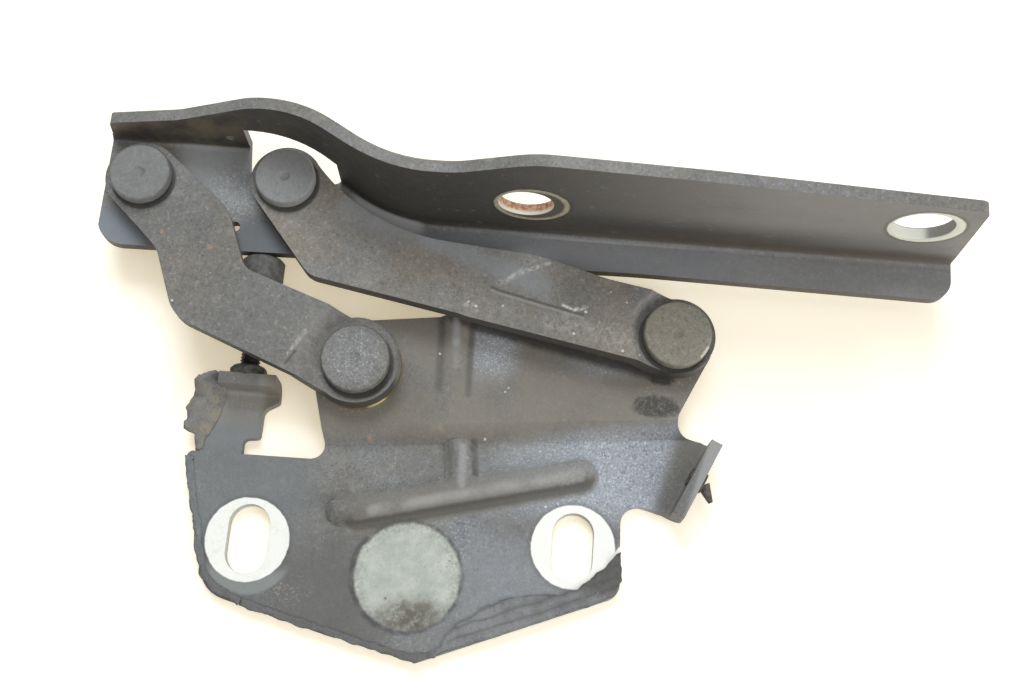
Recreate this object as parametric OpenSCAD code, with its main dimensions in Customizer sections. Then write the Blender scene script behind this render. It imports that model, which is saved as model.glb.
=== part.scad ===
// Four-bar bonnet hinge, lying flat in its closed position.
// X runs along the bonnet arm, Z is the pivot direction, and z = 0 is the face that bolts to the body.
// The origin is midway between the two body slots.

/* [Sheet] */
// Thickness of the base bracket sheet
base_t = 3; // [2.4:0.1:3.6]
// Thickness of the bonnet bracket sheet
arm_t = 3; // [2.4:0.1:3.6]
// Thickness of both links
link_t = 4; // [3.2:0.1:4.8]
// How far the pivot half of the base bracket is pressed up from the pad
base_rise = 4; // [3:0.1:5]
// How far the short link is joggled up from its base pivot
short_rise = 5; // [4.5:0.1:6]
// Height of the faint swage across the long link, part of the same rise
swage_rise = 0.8; // [0.4:0.1:1.2]

/* [Pivots] */
// Short link pivot on the base bracket, X
short_base_x = -17; // [-20:0.1:-14]
// Short link pivot on the base bracket, Y
short_base_y = 42; // [40:0.1:44]
// Long link pivot on the base bracket, X
long_base_x = 61; // [58:0.1:64]
// Long link pivot on the base bracket, Y
long_base_y = 54.6; // [52.6:0.1:56.6]
// Short link pivot on the bonnet bracket, X
short_arm_x = -75; // [-77:0.1:-73]
// Short link pivot on the bonnet bracket, Y
short_arm_y = 84; // [82:0.1:86]
// Long link pivot on the bonnet bracket, X
long_arm_x = -39; // [-41:0.1:-37]
// Long link pivot on the bonnet bracket, Y
long_arm_y = 86; // [84:0.1:87]

/* [Rivets and bushes] */
// Shank radius of the two base rivets
base_shank_r = 4; // [3.5:0.1:4.5]
// Shank radius of the two bonnet rivets
arm_shank_r = 3.5; // [3:0.1:4]
// Head radius of the two base rivets
base_head_r = 8.4; // [7.8:0.1:9]
// Head radius of the two bonnet rivets
arm_head_r = 7.5; // [7:0.1:8]
// Height of every rivet head
head_h = 3; // [2.4:0.1:3.6]
// Height of every closed rivet tail
tail_h = 2.4; // [1.8:0.1:2.6]
// Wall of the pressed-in bushes
bush_wall = 1.2; // [0.8:0.1:1.6]
// Thickness of the thrust washers
washer_t = 1; // [0.8:0.1:1.4]
// Radial running clearance in the bushes
running_clear = 0.05; // [0.02:0.01:0.1]
// Radial clearance of the one pivot that is left open for the loop
loop_clear = 1.95; // [1.8:0.05:2.2]
// End play of the links between washer and rivet head
end_play = 0.2; // [0.1:0.05:0.3]

/* [Base bracket] */
// Width of the body slots
body_slot_w = 10; // [8.5:0.1:11]
// Length of the body slots
body_slot_l = 16.8; // [14:0.1:18]
// Distance between the body slots along X
body_slot_gap = 78.4; // [74:0.1:82]
// Step between the body slots along Y
body_slot_step = 4; // [2:0.1:6]
// Radius of the lobe round the short link pivot
short_lobe_r = 11.9; // [11:0.1:13]
// Radius of the lobe round the long link pivot
long_lobe_r = 9.8; // [9:0.1:11]
// Half width of the stiffening beads
bead_w = 4; // [3:0.1:4.6]
// Height of the stiffening beads
bead_h = 2; // [1.4:0.1:2.4]
// Height of the ear flange above the body face
ear_h = 11; // [9:0.1:13]
// Inner radius of the folds
fold_r = 1; // [0.8:0.1:1.4]

/* [Bonnet bracket] */
// Y of the inner face of the mounting flange
flange_y = 79.7; // [78.5:0.1:81]
// Distance from the highest bonnet pivot to the raised run of the flange
flange_clear = 10.5; // [9.4:0.1:12]
// Turn of the flange between its two straight runs, degrees
flange_turn = 34; // [30:0.5:38]
// Top of the flange above the body face at its highest
flange_top = 51.2; // [47:0.1:55]
// Right end of the arm
arm_right = 129.4; // [126:0.1:134]
// Left end of the arm
arm_left = -85.6; // [-90:0.1:-84.5]
// Lower edge of the web at its left end
web_low = 67.3; // [66:0.1:68.4]
// Width of the middle bonnet slot along X
bonnet_slot_w = 13.5; // [11:0.1:13.6]
// Length of the middle bonnet slot along Z
bonnet_slot_l = 14; // [13.7:0.1:15]
// Width of the end bonnet slot along X
end_slot_w = 14.6; // [12:0.1:15]
// Length of the end bonnet slot along Z
end_slot_l = 15.4; // [15.1:0.1:16]
// Distance from the right end of the arm to the middle of the end slot
end_slot_edge = 13.8; // [12:0.1:16]
// X of the slot in the middle of the arm
bonnet_slot_x = 21.5; // [18:0.1:25]
// Height of the middle bonnet slot above the body face
bonnet_slot_z = 28.8; // [27:0.1:32]
// How much higher the end slot sits than the middle one
bonnet_slot_lift = 4.8; // [2:0.1:5.5]

/* [Links] */
// End radius of the short link at the base
short_base_end = 10.8; // [10.2:0.1:11.5]
// End radius of the short link at the bonnet
short_arm_end = 9.2; // [8.8:0.1:9.6]
// End radius of the long link at the base
long_base_end = 9.6; // [9:0.1:10]
// End radius of the long link at the bonnet
long_arm_end = 9; // [8.6:0.1:9.4]
// Width of the conical ramp round the short link's base pivot
short_ramp_w = 4.6; // [4:0.1:6]
// Width of the conical ramp round the long link's base pivot
long_ramp_w = 3.4; // [3:0.1:5]

/* [Stop and plug] */
// X of the stop screw
stop_x = -43.6; // [-45:0.1:-42.6]
// Height of the stop screw above the body face
stop_z = 7.5; // [7:0.1:7.6]
// Nominal radius of the stop screw thread
screw_r = 2.5; // [2:0.1:2.6]
// Thread pitch of the stop screw
screw_pitch = 0.8; // [0.7:0.1:1.2]
// Lock nut size across flats
nut_flats = 8.4; // [8:0.1:9]
// Lock nut height
nut_h = 2.4; // [2:0.1:3]
// Radius of the buffer head
buffer_r = 5.3; // [4.6:0.1:5.3]
// Length of the buffer head
buffer_l = 12; // [10:0.1:14]
// Gap between the buffer and the web when closed
stop_gap = 0.3; // [0.2:0.05:0.5]
// Radius of the rubber plug stem
plug_r = 1.9; // [1.6:0.1:2.2]

/* [Hidden] */
$fn = 96;

short_base = [short_base_x, short_base_y];
long_base = [long_base_x, long_base_y];
short_arm = [short_arm_x, short_arm_y];
long_arm = [long_arm_x, long_arm_y];

// Levels along Z, from the body face up
base_top = base_rise + base_t;
seat_z = base_top + washer_t + end_play;
base_head_z = seat_z + link_t + end_play;
body_z = seat_z + short_rise;
arm_top = body_z - end_play - washer_t;
arm_z = arm_top - arm_t;
arm_head_z = body_z + link_t + end_play;
long_rise = short_rise - swage_rise;

// Flat seat of each link beyond its base rivet head, on the underside
short_seat = 3.2;
long_seat = 2.6;

// Flange path of the bonnet bracket: it bows out past the long link pivot, slopes down and dips to the flange
raised_y = max(short_arm_y, long_arm_y) + flange_clear;
flange_step = raised_y - flange_y;
bow_r = 36;
dip_r = 40;
bow_lead = 1.86;
bow_corner = long_arm_x + bow_lead;
dip_corner = bow_corner + flange_step / tan(flange_turn);

// Lower edge of the web: it climbs to a faint corner, then runs level to the right end
web_mid_x = arm_right - 79;
web_mid_lift = 3.1;
web_end_lift = 2.3;
end_lean = 1.6;

// Horn and stop
horn_right = stop_x + 7.6;
horn_left = stop_x - 6.4;
horn_top = 37;
horn_h = stop_z + 4;
web_rise = web_mid_lift / (web_mid_x - arm_left);
stop_y = web_low + web_rise * (stop_x - buffer_r - arm_left) - stop_gap;
buffer_y = stop_y - buffer_l;

// Ear flange on the base bracket: its inner face starts at ear_inner and runs along ear_way
ear_turn = 65;
ear_way = [cos(ear_turn), sin(ear_turn)];
ear_out = [sin(ear_turn), -cos(ear_turn)];
ear_inner = [64.9, 10] - base_t * ear_out;
ear_edge = ear_inner - (fold_r + 0.5) * ear_out;
ear_l = 20.4;
plug_along = 10.6;
plug_head_r = plug_r + 0.5;
plug_z = base_t + fold_r + plug_head_r + 0.1;

// Beads are part of a round bar sunk into the sheet, with a groove behind
bead_r = (bead_w * bead_w + bead_h * bead_h) / (2 * bead_h);
bead_z = base_t + bead_h - bead_r;
groove_r = max(0.6, bead_r - base_t);

// Outer radii of the bushes
base_bush_r = base_shank_r + running_clear + bush_wall;
arm_bush_r = arm_shank_r + running_clear + bush_wall;
loop_bush_r = arm_shank_r + loop_clear + bush_wall;

// Outline helpers: each outline point is [x, y, corner radius], listed anticlockwise
function at(p, i) = p[(i + len(p)) % len(p)];
function place(v) = [v[0], v[1]];
function unit(v) = v / norm(v);
function ray(p, i, step) = unit(place(at(p, i + step)) - place(at(p, i)));
function half_angle(p, i) = acos(ray(p, i, -1) * ray(p, i, 1)) / 2;
function bisector(p, i) = unit(ray(p, i, -1) + ray(p, i, 1));
function arc_middle(p, i) = place(at(p, i)) + bisector(p, i) * at(p, i)[2] / sin(half_angle(p, i));
function touch(p, i, step) = place(at(p, i)) + ray(p, i, step) * at(p, i)[2] / tan(half_angle(p, i));
function outward(p, i) = cross(ray(p, i, 1), ray(p, i, -1)) > 0;
function polar(c, r, a) = [c[0] + r * cos(a), c[1] + r * sin(a)];
function sharp(v) = [v[0], v[1], 0];

// A point beside the line from a to b, as shares of its length along it and to its left
function beside(a, b, along, left) = a + along * (b - a) + left * [a[1] - b[1], b[0] - a[0]];
function on_short(along, left, r) = [each beside(short_arm, short_base, along, left), r];
function on_long(along, left, r) = [each beside(long_arm, long_base, along, left), r];

// The piece between a corner's chord and its arc, with a little beyond the chord
module corner(p, i) {
    middle = (touch(p, i, -1) + touch(p, i, 1)) / 2;
    intersection() {
        translate(arc_middle(p, i)) circle(at(p, i)[2]);
        polygon([touch(p, i, -1), place(at(p, i)), touch(p, i, 1), middle + 0.3 * (middle - place(at(p, i)))]);
    }
}

// A polygon whose corners are true arcs
module rounded(p) {
    corners = [for (i = [0:len(p) - 1]) if (at(p, i)[2] > 0) i];
    cut = [for (i = [0:len(p) - 1]) each at(p, i)[2] > 0 ? [touch(p, i, -1), touch(p, i, 1)] : [place(at(p, i))]];
    difference() {
        union() {
            polygon(cut);
            for (i = corners) if (outward(p, i)) corner(p, i);
        }
        for (i = corners) if (!outward(p, i)) corner(p, i);
    }
}

// A slot along X, centred
module slot(l, w) {
    square([l - w, w], center = true);
    for (s = [-1, 1]) translate([s * (l - w) / 2, 0]) circle(w / 2);
}

// Section of a right-angle fold: a leg of the sheet inwards along -X, a wall up along Y at x = 0..t
module fold_section(t, r, leg, h) {
    translate([-leg, 0]) square([leg - r, t]);
    translate([0, t + r]) square([t, h - t - r]);
    intersection() {
        translate([-r, t + r]) difference() {
            circle(r + t);
            circle(r);
        }
        translate([-r, 0]) square([r + t, t + r]);
    }
}

module ring(outer, inner, h) {
    difference() {
        cylinder(r = outer, h = h);
        translate([0, 0, -1]) cylinder(r = inner, h = h + 2);
    }
}

// A straight run of a section, from a point along a direction; the section's wall stands along Z
module run(from, turn, l) {
    translate(from) rotate([90, 0, turn]) translate([0, 0, -l]) linear_extrude(l) children();
}

module base_outline() {
    rounded([[3.8, -27.9, 5], [51.2, -8.6, 4], [50.2, 14.6, 4.4], sharp(ear_edge), sharp(ear_edge + ear_l * ear_way),
        [61.2, 32.2, 4], sharp(polar(long_base, long_lobe_r, -33)), sharp(polar(long_base, long_lobe_r, 98)),
        sharp(polar(short_base, short_lobe_r, 98)), sharp(polar(short_base, short_lobe_r, 214)),
        [-22.2, 18.8, 3.5], [-57.3, 18.4, 1.5], [-48, -15.5, 8]]);
    translate(long_base) circle(long_lobe_r);
    translate(short_base) circle(short_lobe_r);
}

// Pad level up to the joggle line, pivot level beyond it
module base_levels() {
    translate([0, 25.2, 0]) rotate([90, 0, 96]) translate([0, 0, -100]) linear_extrude(200)
        polygon([[-80, 0], [0, 0], [base_rise + 0.6, base_rise], [80, base_rise], [80, base_top],
            [base_rise - 0.6, base_top], [-1.2, base_t], [-80, base_t]]);
}

module horn_outline() {
    rounded([[-55.8, 10, 0], [-43.6, 10, 0], [-43.6, 22.4, 1.4], [-39.7, 22.9, 1], [-39.6, 30, 2.5],
        [horn_right, 32.2, 0.8], [horn_right, horn_top + 1, 0], [horn_left, horn_top + 1, 0],
        [horn_left, 32, 1], [-54.6, 20.6, 2]]);
}

// A round-ended bar between two points
module bead(from, to, r) {
    d = to - from;
    translate(from) rotate([0, acos(d[2] / norm(d)), atan2(d[1], d[0])]) rotate_extrude($fn = 32)
        intersection() {
            union() {
                translate([-r, 0]) square([2 * r, norm(d)]);
                circle(r);
                translate([0, norm(d)]) circle(r);
            }
            translate([0, -2 * r]) square([r + 1, norm(d) + 4 * r]);
        }
}

module pad_beads(r) {
    bead([-17.6, 6.5, bead_z], [40.6, 21.2, bead_z], r);
    bead([11, 13.8, bead_z], [9.6, 24, bead_z], r);
}

module pivot_bead(r) {
    bead([6.1, 57.5, base_rise + bead_z], [7.4, 37, base_rise + bead_z - bead_h], r);
}

module above(z) {
    translate([-200, -200, z]) cube([400, 400, 60]);
}

module base_bracket() {
    color([0.33, 0.33, 0.32]) difference() {
        union() {
            intersection() {
                linear_extrude(base_top) base_outline();
                base_levels();
            }
            intersection() {
                linear_extrude(horn_h + 1) horn_outline();
                run([0, horn_top - base_t, 0], 90, 80) fold_section(base_t, fold_r, 40, horn_h);
            }
            run([ear_inner[0], ear_inner[1], 0], ear_turn - 90, ear_l) fold_section(base_t, fold_r, fold_r + 1, ear_h);
            intersection() {
                linear_extrude(40) base_outline();
                union() {
                    intersection() {
                        pad_beads(bead_r);
                        above(base_t / 2);
                    }
                    intersection() {
                        pivot_bead(bead_r);
                        above(base_rise + base_t / 2);
                    }
                }
            }
        }
        pad_beads(groove_r);
        pivot_bead(groove_r);
        for (s = [-1, 1]) translate([s * body_slot_gap / 2, s * body_slot_step / 2, -1]) rotate(90)
            linear_extrude(base_top + 2) slot(body_slot_l, body_slot_w);
        for (p = [short_base, long_base]) translate(p) cylinder(r = base_shank_r, h = 20);
        translate([stop_x, horn_top - base_t - 1, stop_z]) rotate([-90, 0, 0])
            cylinder(r = screw_r, h = base_t + 2);
        ear_place() translate([0, 0, -1]) cylinder(r = plug_r, h = base_t + 2);
    }
}

// Puts +Z of its children on the plug axis, from the inner face of the ear flange outwards
module ear_place() {
    translate([ear_inner[0] + plug_along * ear_way[0], ear_inner[1] + plug_along * ear_way[1], plug_z])
        rotate([0, 90, ear_turn - 90]) children();
}

// Everything on the pivot side of the flange path, moved out by off
module below_path(off) {
    out = off * tan(flange_turn / 2);
    rounded([[arm_left - 20, 0, 0], [arm_right + 20, 0, 0], [arm_right + 20, flange_y + off, 0],
        [dip_corner + out, flange_y + off, dip_r - off], [bow_corner + out, raised_y + off, bow_r + off],
        [arm_left - 20, raised_y + off, 0]]);
}

// The flat web, up to the outer face of the flange
module web_outline() {
    intersection() {
        below_path(arm_t);
        rounded([[arm_left, web_low, 7], [web_mid_x, web_low + web_mid_lift, 300],
            [arm_right, web_low + web_end_lift, 5.5], [arm_right, raised_y + 10, 0],
            [arm_left - end_lean, raised_y + 10, 0], [arm_left - end_lean, raised_y, 0]]);
    }
}

// Side view of the arm: the flange is low by the pivots and tallest at the middle slot
module arm_profile() {
    rounded([[arm_left - end_lean, 0, 0], [arm_right, 0, 0], [arm_right, arm_top + 3, 0],
        [arm_right - 1.6, flange_top - 6.6, 2.5], [64, flange_top - 1.8, 200], [23, flange_top, 20],
        [5, flange_top - 7.6, 14], [-20, flange_top - 8.9, 40], [-48, flange_top - 17.2, 20],
        [-66, flange_top - 26.2, 15], [arm_left + 1, flange_top - 31, 1.5]]);
}

// Clearance window round the long link pivot, cut through web and fold
module pivot_window() {
    difference() {
        rounded([[long_arm_x - 10.5, long_arm_y + 2.3, 1], [long_arm_x + 13.2, long_arm_y + 2.3, 2],
            [long_arm_x + 13.2, raised_y + 20, 0], [long_arm_x - 13.6, raised_y + 20, 0]]);
        translate(long_arm) circle(long_arm_end - 0.4);
    }
}

module bonnet_bracket() {
    color([0.3, 0.3, 0.29]) difference() {
        intersection() {
            union() {
                translate([0, 0, arm_z]) linear_extrude(flange_top) difference() {
                    below_path(arm_t);
                    below_path(0);
                }
                translate([0, 0, arm_z]) linear_extrude(arm_t) web_outline();
            }
            rotate([90, 0, 0]) translate([0, 0, -200]) linear_extrude(400) arm_profile();
        }
        translate([0, 0, arm_z - 1]) linear_extrude(arm_t + 11) pivot_window();
        for (p = [short_arm, long_arm]) translate([p[0], p[1], arm_z - 1]) cylinder(r = arm_shank_r, h = arm_t + 2);
        translate([bonnet_slot_x, flange_y + arm_t + 1, bonnet_slot_z]) rotate([90, 0, 0])
            linear_extrude(arm_t + 2) rotate(90) slot(bonnet_slot_l, bonnet_slot_w);
        translate([arm_right - end_slot_edge, flange_y + arm_t + 1, bonnet_slot_z + bonnet_slot_lift]) rotate([90, 0, 0])
            linear_extrude(arm_t + 2) rotate(90) slot(end_slot_l, end_slot_w);
        translate([short_arm_x + 23.6, short_arm_y - 9.4, arm_z - 1]) cylinder(r = 1.3, h = arm_t + 2);
        translate([short_arm_x + 20.6, raised_y - 1, arm_top + 5]) rotate([-90, 0, 0]) cylinder(r = 1.2, h = arm_t + 2);
    }
}

// Section of a link round its base pivot: low seat, conical ramp, then the raised body
module link_levels(step, ramp_w, rise, reach) {
    lean = link_t * tan(atan(rise / ramp_w) / 2);
    translate([0, 0, seat_z]) rotate_extrude()
        polygon([[0, 0], [step, 0], [step + ramp_w, rise], [reach, rise], [reach, rise + link_t],
            [step + ramp_w - lean, rise + link_t], [step - lean, link_t], [0, link_t]]);
}

module short_outline() {
    rounded([sharp(polar(short_arm, short_arm_end, 225)), on_short(0.223, -0.156, 10), on_short(0.439, -0.296, 10),
        sharp(polar(short_base, short_base_end, 235)), sharp(polar(short_base, short_base_end, 102)),
        on_short(0.505, -0.014, 5), on_short(0.306, 0.111, 14), sharp(polar(short_arm, short_arm_end, 50))]);
    translate(short_arm) circle(short_arm_end);
    translate(short_base) circle(short_base_end);
}

module short_link() {
    color([0.36, 0.36, 0.34]) difference() {
        intersection() {
            linear_extrude(40) short_outline();
            translate(short_base) link_levels(base_head_r + short_seat, short_ramp_w, short_rise, 150);
        }
        translate(short_base) cylinder(r = base_bush_r, h = 40);
        translate(short_arm) cylinder(r = loop_bush_r, h = 40);
    }
}

module long_outline() {
    rounded([sharp(polar(long_arm, long_arm_end, 218)), on_long(0.149, -0.199, 6),
        sharp(polar(long_base, long_base_end, 257)), sharp(polar(long_base, long_base_end, 100)),
        on_long(0.8, 0.0595, 40), on_long(0.648, 0.054, 20), on_long(0.228, -0.041, 50),
        sharp(polar(long_arm, long_arm_end, 50))]);
    translate(long_arm) circle(long_arm_end);
    translate(long_base) circle(long_base_end);
}

// Raised body of the long link, with the faint oblique swage across it
module long_body() {
    fold = beside(long_arm, long_base, 0.596, -0.02);
    translate([fold[0], fold[1], seat_z + long_rise]) rotate([90, 0, 134]) translate([0, 0, -80]) linear_extrude(160)
        polygon([[-120, 0], [0, 0], [1.6, swage_rise], [120, swage_rise], [120, swage_rise + link_t],
            [1.2, swage_rise + link_t], [-0.4, link_t], [-120, link_t]]);
}

module long_link() {
    step = base_head_r + long_seat;
    ramp_end = step + long_ramp_w;
    color([0.36, 0.36, 0.34]) difference() {
        intersection() {
            linear_extrude(40) long_outline();
            union() {
                difference() {
                    long_body();
                    translate(long_base) cylinder(r = ramp_end + 0.5, h = 40);
                }
                translate(long_base) link_levels(step, long_ramp_w, long_rise, ramp_end + 2);
            }
        }
        translate(long_base) cylinder(r = base_bush_r, h = 40);
        translate(long_arm) cylinder(r = arm_bush_r, h = 40);
    }
}

// A headed rivet on its axis, from its closed tail to its flat head with a small centre dimple
module rivet(shank_r, head_r, plate_z, head_z) {
    edge = 0.6;
    difference() {
        rotate_extrude() polygon([[0, plate_z - tail_h], [shank_r + 1.9, plate_z - tail_h],
            [shank_r + 2.5, plate_z - tail_h + edge], [shank_r + 2.5, plate_z], [shank_r, plate_z],
            [shank_r, head_z], [head_r, head_z], [head_r, head_z + head_h - edge],
            [head_r - edge, head_z + head_h], [0, head_z + head_h]]);
        translate([0, 0, head_z + head_h + 1.6]) sphere(2.2);
    }
}

module rivet_short_base() {
    color([0.4, 0.4, 0.38]) translate(short_base) rivet(base_shank_r, base_head_r, base_rise, base_head_z);
}

module rivet_long_base() {
    color([0.4, 0.4, 0.38]) translate(long_base) rivet(base_shank_r, base_head_r, base_rise, base_head_z);
}

module rivet_short_bonnet() {
    color([0.4, 0.4, 0.38]) translate(short_arm) rivet(arm_shank_r, arm_head_r, arm_z, arm_head_z);
}

module rivet_long_bonnet() {
    color([0.4, 0.4, 0.38]) translate(long_arm) rivet(arm_shank_r, arm_head_r, arm_z, arm_head_z);
}

module washer_short_base() {
    color([0.72, 0.56, 0.25]) translate([short_base_x, short_base_y, base_top])
        ring(short_base_end + 0.2, base_shank_r, washer_t);
}

module washer_long_base() {
    color([0.72, 0.56, 0.25]) translate([long_base_x, long_base_y, base_top])
        ring(long_base_end - 0.4, base_shank_r, washer_t);
}

module washer_short_bonnet() {
    color([0.72, 0.56, 0.25]) translate([short_arm_x, short_arm_y, arm_top])
        ring(short_arm_end - 0.6, arm_shank_r, washer_t);
}

module washer_long_bonnet() {
    color([0.72, 0.56, 0.25]) translate([long_arm_x, long_arm_y, arm_top])
        ring(long_arm_end - 0.6, arm_shank_r, washer_t);
}

module bush_short_base() {
    color([0.7, 0.5, 0.28]) translate([short_base_x, short_base_y, seat_z])
        ring(base_bush_r, base_shank_r + running_clear, link_t);
}

module bush_long_base() {
    color([0.7, 0.5, 0.28]) translate([long_base_x, long_base_y, seat_z])
        ring(base_bush_r, base_shank_r + running_clear, link_t);
}

module bush_short_bonnet() {
    color([0.7, 0.5, 0.28]) translate([short_arm_x, short_arm_y, body_z])
        ring(loop_bush_r, arm_shank_r + loop_clear, link_t);
}

module bush_long_bonnet() {
    color([0.7, 0.5, 0.28]) translate([long_arm_x, long_arm_y, body_z])
        ring(arm_bush_r, arm_shank_r + running_clear, link_t);
}

// Puts +Z of its children along +Y on the stop axis
module stop_place(y) {
    translate([stop_x, y, stop_z]) rotate([-90, 0, 0]) children();
}

// Plain where it is held, ridged along its free length
module stop_screw() {
    foot = horn_top - base_t;
    plain = horn_top + nut_h - foot;
    ridged = buffer_y - horn_top - nut_h;
    n = floor(ridged / screw_pitch);
    pitch = ridged / n;
    root = screw_r - 0.6 * pitch;
    color([0.2, 0.2, 0.2]) stop_place(foot) rotate_extrude()
        polygon([[0, 0], [screw_r, 0], [screw_r, plain],
            for (i = [0:n - 1]) each [[root, plain + (i + 0.3) * pitch], [screw_r, plain + (i + 0.8) * pitch]],
            [screw_r, plain + ridged], [screw_r, plain + ridged + 6], [0, plain + ridged + 6]]);
}

module stop_nut() {
    corner_r = nut_flats / 2 / cos(30);
    color([0.35, 0.34, 0.32]) stop_place(horn_top) difference() {
        intersection() {
            rotate(30) cylinder(r = corner_r, h = nut_h, $fn = 6);
            rotate_extrude() polygon([[0, 0], [corner_r + 0.2, 0], [corner_r + 0.2, 0.5 * nut_h],
                [0.8 * corner_r, nut_h], [0, nut_h]]);
        }
        translate([0, 0, -1]) cylinder(r = screw_r, h = nut_h + 2);
    }
}

module stop_buffer() {
    edge = 0.8;
    color([0.12, 0.12, 0.12]) stop_place(buffer_y) difference() {
        rotate_extrude() polygon([[0, 0], [buffer_r - edge, 0], [buffer_r, edge], [buffer_r, buffer_l - edge],
            [buffer_r - edge, buffer_l], [0, buffer_l]]);
        translate([0, 0, -1]) cylinder(r = screw_r, h = 7);
    }
}

// Rubber plug through the ear flange with a drooping conical tail
module ear_plug() {
    color([0.1, 0.1, 0.1]) {
        ear_place() {
            rotate_extrude() polygon([[0, -0.6], [plug_head_r - 0.3, -0.6], [plug_head_r, -0.3], [plug_head_r, 0],
                [plug_r, 0], [plug_r, base_t], [plug_r + 0.7, base_t], [plug_r + 0.7, base_t + 0.4],
                [plug_r + 0.5, base_t + 0.6], [0, base_t + 0.6]]);
            translate([0, -0.2, base_t + 0.55]) rotate([38, 12, 0]) cylinder(r1 = plug_r - 0.3, r2 = 0.6, h = 4.6);
        }
    }
}

base_bracket();
bonnet_bracket();
short_link();
long_link();
rivet_short_base();
rivet_long_base();
rivet_short_bonnet();
rivet_long_bonnet();
washer_short_base();
washer_long_base();
washer_short_bonnet();
washer_long_bonnet();
bush_short_base();
bush_long_base();
bush_short_bonnet();
bush_long_bonnet();
stop_screw();
stop_nut();
stop_buffer();
ear_plug();
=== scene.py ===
"""Looks of a used bonnet hinge: its worn paint, bare prints, torn wax film and a plain studio."""

import math
import random
from functools import reduce

import bmesh
import bpy
from mathutils import Matrix, Vector, geometry, noise


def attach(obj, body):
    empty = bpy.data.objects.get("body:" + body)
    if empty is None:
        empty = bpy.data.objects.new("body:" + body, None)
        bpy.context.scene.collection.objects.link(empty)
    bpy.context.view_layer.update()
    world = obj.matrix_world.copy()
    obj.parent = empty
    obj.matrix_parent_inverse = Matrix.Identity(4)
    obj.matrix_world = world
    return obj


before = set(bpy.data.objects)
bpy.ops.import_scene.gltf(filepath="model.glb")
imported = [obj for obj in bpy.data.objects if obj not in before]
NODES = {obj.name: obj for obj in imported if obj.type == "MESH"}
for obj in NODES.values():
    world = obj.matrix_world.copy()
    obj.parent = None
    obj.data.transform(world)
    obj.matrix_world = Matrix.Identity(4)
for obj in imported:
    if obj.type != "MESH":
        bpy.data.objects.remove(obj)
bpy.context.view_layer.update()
MM = 0.001

# Places and sizes in millimetres of the CAD frame
PAD_TOP, ARM_TOP = 3.0, 12.0
BOLT_PRINTS = [(-39.3, -2.2), (39.3, 2.2)]
DISC = (-0.2, -8)
BEAD = (-13.5, 5.6), (40, 19.3)
CREST = (-10, 7.0), (39.5, 20.0)
PIVOTS = {
    "short_base": (-17, 42),
    "long_base": (61, 54.6),
    "short_bonnet": (-75, 84),
    "long_bonnet": (-39, 86),
}
HEAD_R = {"short_base": 8.4, "long_base": 8.4, "short_bonnet": 7.5, "long_bonnet": 7.5}
WELD_GAP = 0.002

# An edge steeper than SHARP is rounded; facets that turn by less than FLAT are merged
SHARP = math.radians(58)
FLAT = math.radians(0.4)

# Tones that several marks share
SOOT = (0.03, 0.028, 0.025)
BEAD_SHADE = (0.07, 0.068, 0.066)
WARM_BEAD_SHADE = (0.075, 0.073, 0.068)
BEAD_HIGHLIGHT = (0.44, 0.46, 0.48)
CHIPPED = (0.78, 0.78, 0.74)

# Painted highlights and shade along the upright beads of the body bracket: start, end, width,
# strength and tone
BEAD_LIGHT_STROKES = [
    ((2.5, 57), (3.6, 38), 1.6, 0.5, BEAD_SHADE),
    ((10.4, 57), (10.8, 37), 1.3, 0.5, BEAD_SHADE),
    ((6.2, 57), (6.8, 50), 1.5, 0.45, BEAD_HIGHLIGHT),
    ((6.8, 50), (7.2, 44), 1.2, 0.2, BEAD_HIGHLIGHT),
    ((11.2, 15.0), (10.6, 24.5), 1.6, 0.4, BEAD_HIGHLIGHT),
    ((14.3, 18.0), (13.2, 26.0), 1.3, 0.6, WARM_BEAD_SHADE),
    ((8.5, 17.5), (7.6, 25.0), 1.3, 0.4, WARM_BEAD_SHADE),
]

# Spots: x, y and radius
PAD_RUST = [(-12.4, 24.6, 0.9), (4.6, 28.5, 0.6), (-30, -13, 0.5), (-22, -3, 0.4)]
PAD_FLECKS = [(15.9, 26.9, 0.4), (20, 38.5, 0.4), (20.7, 39.6, 0.3), (32, 11.5, 0.4), (3, 47, 0.4)]
DISC_SPOTS = [(3.5, -18.9, 0.9), (9.8, -3.5, 0.4), (-4.5, -13.5, 0.5), (6.4, -20, 0.5)]
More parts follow.
